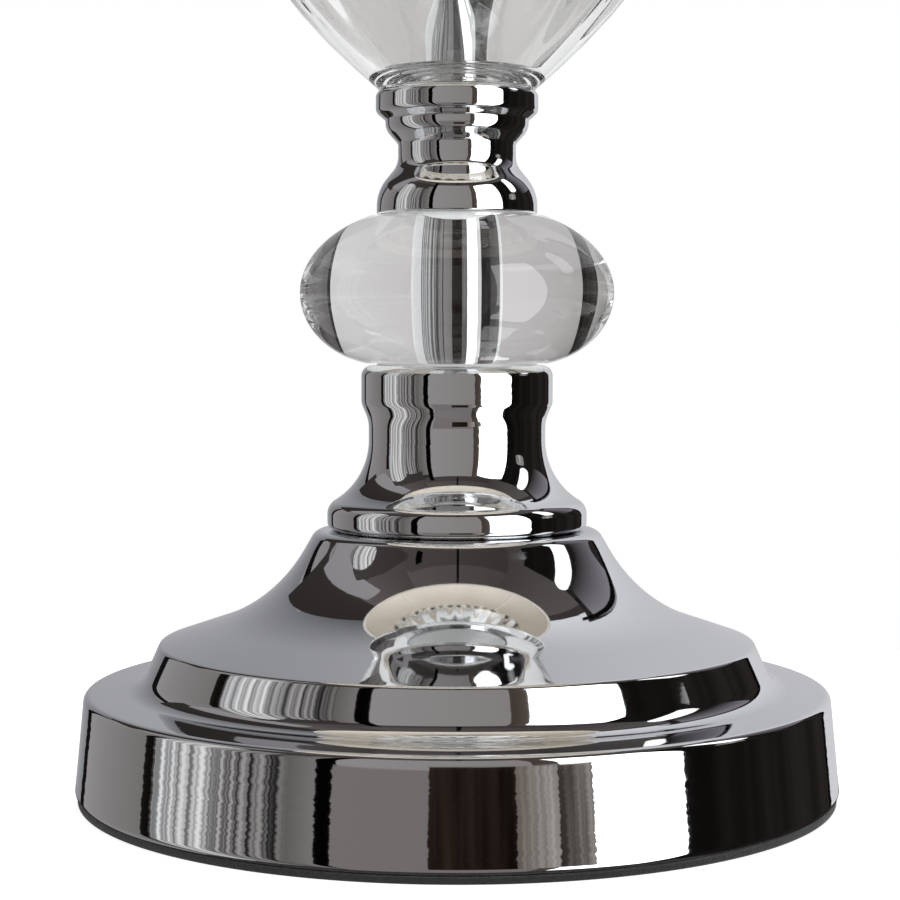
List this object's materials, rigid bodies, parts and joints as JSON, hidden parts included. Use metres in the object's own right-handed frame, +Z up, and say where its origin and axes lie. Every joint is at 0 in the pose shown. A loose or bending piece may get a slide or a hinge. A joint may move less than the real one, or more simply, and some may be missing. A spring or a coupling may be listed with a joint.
{
  "type": "table lamp",
  "caption": "Table lamp with a stepped chrome base, chrome collars, a clear glass knob, a clear glass vase body, a candle bulb and a tapered fabric shade.",
  "frame": {"origin": "on the table, at the lamp's axis under the felt pad", "axes": "+Z up along the lamp's axis, -Y towards the front, +Y towards the cord inlet"},
  "size_m": [0.3011, 0.3012, 0.5189],
  "materials": {
    "felt": "dense black felt, slightly fuzzy",
    "chrome": "polished chrome plate with fine spinning rings",
    "cast_iron": "rough casting",
    "black_rubber": "matte moulded bush",
    "zinc_steel": "bright zinc plate",
    "clear_plastic": "clear soft washer",
    "clear_glass": "clear polished soda-lime glass",
    "white_plastic": "moulded thermoplastic, satin",
    "steatite": "pale fired insulator",
    "brass": "bare stamped brass",
    "solder": "dull solder",
    "black_glass": "black insulating glass",
    "nickel": "rolled thread, nickel bright",
    "bulb_glass": "thin clear blown glass",
    "phosphor": "yellow phosphor silicone",
    "white_wire": "white powder coat",
    "shade_fabric": "off-white slub weave, laminated",
    "shade_trim": "matching grosgrain tape"
  },
  "bodies": {
    "stand": {"felt_pad": "felt", "base_shell": "chrome", "base_weight": "cast_iron", "cord_inlet": "black_rubber", "rod_washer_lower": "zinc_steel", "rod_nut_lower": "zinc_steel", "threaded_rod": "zinc_steel", "spool_collar": "chrome", "knob_cushion_lower": "clear_plastic", "knob_sleeve": "chrome", "glass_knob": "clear_glass", "knob_cushion_upper": "clear_plastic", "neck_cup": "chrome", "body_cushion_lower": "clear_plastic", "body_sleeve": "chrome", "glass_body": "clear_glass", "body_cushion_upper": "clear_plastic", "body_cap": "chrome", "rod_washer_upper": "zinc_steel", "rod_nut_upper": "zinc_steel", "top_spool": "chrome", "holder_cap": "white_plastic", "holder_grub_screw": "zinc_steel", "holder_shell": "white_plastic", "holder_insert": "steatite", "side_contact": "brass", "centre_contact": "brass", "terminal_screws": "brass"},
    "shade_carrier": {"shade_reducer": "white_plastic"},
    "lower_ring": {"shade_ring_lower": "white_plastic"},
    "upper_ring": {"shade_ring_upper": "white_plastic"},
    "shade": {"shade_frame": "white_wire", "shade_bottom_ring": "white_wire", "shade_top_ring": "white_wire", "shade_cover": "shade_fabric", "shade_trim_top": "shade_trim", "shade_trim_bottom": "shade_trim"},
    "bulb_foot": {"bulb_tip": "solder"},
    "bulb": {"bulb_insulator": "black_glass", "bulb_cap": "nickel", "bulb_glass": "bulb_glass", "bulb_stem": "bulb_glass", "bulb_filaments": "phosphor"}
  },
  "joints": [
    {"name": "shade_height", "type": "slide", "parent": "stand", "child": "shade_carrier", "axis": [0, 0, 1], "range_m": [0, 0.01]},
    {"name": "lower_ring_turn", "type": "hinge", "parent": "shade_carrier", "child": "lower_ring", "pos_m": [0, 0, 0.343], "axis": [0, 0, 1], "range_deg": [-36, 1677]},
    {"name": "upper_ring_turn", "type": "hinge", "parent": "shade_carrier", "child": "upper_ring", "pos_m": [0, 0, 0.343], "axis": [0, 0, 1], "range_deg": [-36, 1677]},
    {"name": "shade_turn", "type": "hinge", "parent": "shade_carrier", "child": "shade", "pos_m": [0, 0, 0.343], "axis": [0, 0, 1], "continuous": true},
    {"name": "bulb_travel", "type": "slide", "parent": "stand", "child": "bulb_foot", "axis": [0, 0, 1], "range_m": [0, 0.01128]},
    {"name": "bulb_turn", "type": "hinge", "parent": "bulb_foot", "child": "bulb", "pos_m": [0, 0, 0.343], "axis": [0, 0, 1], "range_deg": [0, 1440]}
  ],
  "couplings": [
    {"joint": "lower_ring_turn", "follows": "shade_height", "rad_per_m": 2513},
    {"joint": "upper_ring_turn", "follows": "shade_height", "rad_per_m": 2513},
    {"joint": "bulb_travel", "follows": "bulb_turn", "m_per_rad": 0.0004488}
  ]
}
